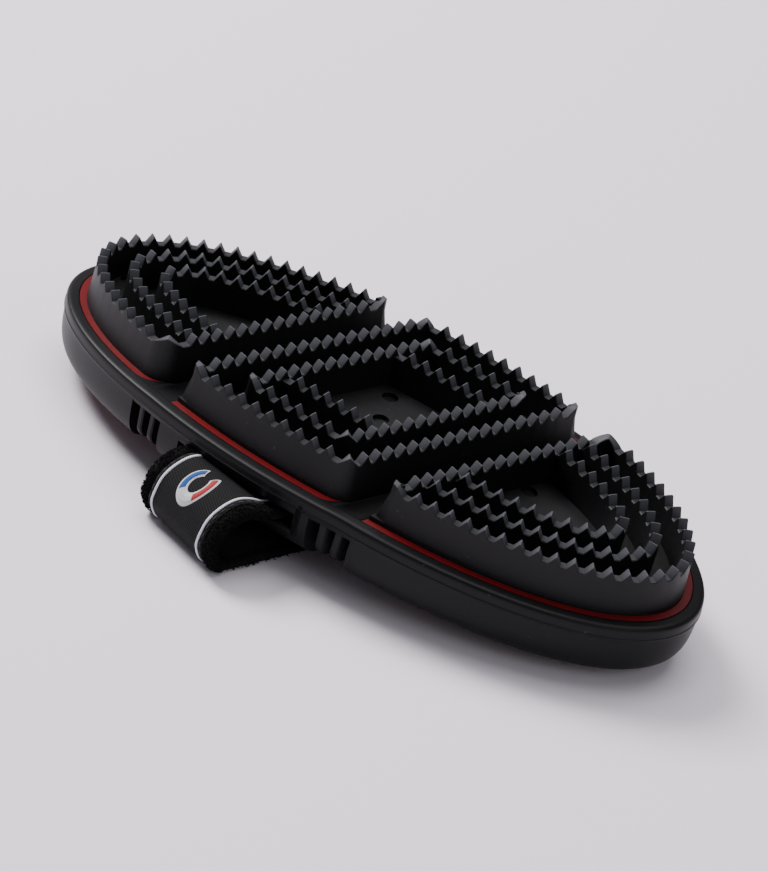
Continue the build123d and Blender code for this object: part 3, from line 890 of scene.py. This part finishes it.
def horseshoe(name, material, first, last, grow, rise, steps=64):
    # an arch of satin stitch: a crowned band carried round an oval from heel to heel
    angle = np.radians(np.linspace(first, last, steps))[:, None]
    cross = np.linspace(-1, 1, 9)
    width = motif["band"] * (0.72 + 0.28 * np.cos(angle / 2)) + grow
    reach = 1 + cross * width / np.hypot(motif["halfWide"], motif["halfLong"]) * 1.4
    thread = 0.04 * np.abs(np.sin(np.arange(steps) * math.pi / 2))[:, None]
    high = rise * np.sqrt(np.clip(1 - cross ** 2, 0, 1)) * (1 - thread * 2)
    a = motif["across"] + motif["halfWide"] * reach * np.sin(angle)
    b = motifAt + motif["halfLong"] * reach * np.cos(angle)
    topLoop = onStrap(a, b, -high)
    lowLoop = onStrap(a, b, 0.08)
    loops = np.concatenate([topLoop, lowLoop[:, ::-1]], 1)
    verts, faces = closedLoops([loops])
    around = np.broadcast_to(np.degrees(angle) * 0.08, a.shape)
    uv = np.stack([np.broadcast_to(cross * width, a.shape), around], -1)
    uv = np.concatenate([uv, uv[:, ::-1]], 1).reshape(-1, 2)
    return addMesh(name, verts, faces, material, sharp=60, uv=uv)


span = 180 - motif["open"]
outlinePiece = horseshoe("motifOutline", whiteThread, -span - 5, span + 5, motif["outline"],
                         motif["rise"] * 0.6, 96)
bendStrap(outlinePiece, ["strap_motif"])
third = span * 2 / 3
for name, material, first in (("motifBlue", blueThread, -span), ("motifWhite", whiteThread, -span + third),
                              ("motifRed", redThread, -span + 2 * third)):
    bendStrap(horseshoe(name, material, first + 1, first + third - 1, 0, motif["rise"]))

# lining and hook tab on the hand side: each node is a strip along the strap, so its box gives its length
tabs = {
    "strapLining": {"node": "strap_lining", "slot": "soft_lining", "cloth": liningCloth,
                    "wide": 30.0, "half": 14.0, "fill": 0.5},
    "hookTab": {"node": "hook_tab", "slot": "hook_tape", "cloth": hookCloth,
                "wide": 24.0, "half": 12.0, "fill": 0},
}
for name, tab in tabs.items():
    low, high = [np.array(corner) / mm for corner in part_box(tab["node"])]
    reach = ((high - low)[1] - tab["wide"] * abs(square[1])) / along[1] / 2 - 0.2
    t = (low + high)[:2] @ along / 2 + np.linspace(-reach, reach, 60)
    u = np.linspace(-1, 1, 25)
    endEase = np.clip(np.minimum(t - t[0], t[-1] - t) / 1.2, 0, 1)[:, None] ** 0.5
    crown = 0.75 * (1 - u ** 8) * endEase
    across = u * tab["half"] * (0.96 + 0.04 * endEase)
    plan = t[:, None, None] * along + (across + strap["middle"])[..., None] * square
    topSheet = np.concatenate([plan, (low[2] + 0.15 + crown)[..., None]], -1)
    lowSheet = np.concatenate([plan, np.full(crown.shape, low[2] - 0.1)[..., None]], -1)
    verts, faces = closedLoops([np.concatenate([topSheet, lowSheet[:, ::-1]], 1)])
    tabPiece = place(addMesh(name, verts, faces, tab["cloth"], sharp=60), "strap", [tab["node"]])
print("strap made, path", round(float(reachAlong[-1]), 1), "mm")

# floor, light and camera
studio = {
    "floorHalf": 3.0,
    "floorColour": (0.86, 0.80, 0.875, 1),
    "floorLight": (0.88, 0.82, 0.895, 1),
    "world": 0.22,
    "worldColour": (0.92, 0.93, 1.0, 1),
    # position, what it points at, size in metres, watts, colour
    "lights": [((-1.25, 0.15, 1.3), (0, 0, 0), 0.7, 52, (1, 0.985, 0.99)),
               ((-0.2, 0.5, 1.9), (0, 0, 0), 1.6, 28, (1, 0.985, 1)),
               ((1.3, -0.3, 1.0), (0, 0, 0), 0.9, 4, (1, 1, 1))],
}
floorMesh = bpy.data.meshes.new("floor")
h = studio["floorHalf"]
floorMesh.from_pydata([(-h, -h, 0), (h, -h, 0), (h, h, 0), (-h, h, 0)], [], [(0, 1, 2, 3)])
floor = bpy.data.objects.new("floor", floorMesh)
bpy.context.scene.collection.objects.link(floor)
floorFinish = Finish("floorCard", {"Specular IOR Level": 0.2})
shadeOver = floorFinish.noise(2.0, 2)
floorTint = floorFinish.blendColours(shadeOver, studio["floorColour"], studio["floorLight"])
floorFinish.feed("Base Color", floorTint)
floorFinish.feed("Roughness", 0.7 + shadeOver * 0.1)
floorMesh.materials.append(floorFinish.material)

world = bpy.data.worlds.new("studio")
bpy.context.scene.world = world
world.use_nodes = True
world.node_tree.nodes["Background"].inputs[0].default_value = studio["worldColour"]
world.node_tree.nodes["Background"].inputs[1].default_value = studio["world"]


def aimed(spot, target, roll=0.0):
    # a matrix whose -Z looks from spot to target and whose X is level before the roll
    spot, target = np.array(spot, float), np.array(target, float)
    backward = (spot - target) / np.linalg.norm(spot - target)
    right = np.cross([0, 0, 1], backward)
    right /= np.linalg.norm(right)
    up = np.cross(backward, right)
    c, s = math.cos(math.radians(roll)), math.sin(math.radians(roll))
    right, up = right * c + up * s, up * c - right * s
    return Matrix([[right[k], up[k], backward[k], spot[k]] for k in range(3)] + [[0, 0, 0, 1]])


for number, (spot, target, size, power, colour) in enumerate(studio["lights"]):
    lamp = bpy.data.lights.new(f"softbox{number}", "AREA")
    lamp.size, lamp.energy, lamp.color = size, power, colour
    lampObject = bpy.data.objects.new(f"softbox{number}", lamp)
    lampObject.matrix_world = aimed(spot, target)
    bpy.context.scene.collection.objects.link(lampObject)

shot = {
    "target": (0.0020, 0.0001, 0.020),    # metres
    "azimuth": 26.49, "elevation": 30.87, "roll": 15.13,
    "distance": 0.8169,
    "lens": 132.3,
}
turnAz, turnEl = math.radians(shot["azimuth"]), math.radians(shot["elevation"])
away = np.array([math.sin(turnAz) * math.cos(turnEl), -math.cos(turnAz) * math.cos(turnEl), math.sin(turnEl)])
camera = bpy.data.cameras.new("camera")
camera.sensor_width, camera.lens = 36, shot["lens"]
camera.clip_start = 0.01
cameraObject = bpy.data.objects.new("camera", camera)
eye = np.array(shot["target"]) + away * shot["distance"]
cameraObject.matrix_world = aimed(eye, shot["target"], shot["roll"])
bpy.context.scene.collection.objects.link(cameraObject)
bpy.context.scene.camera = cameraObject

print("stage set")
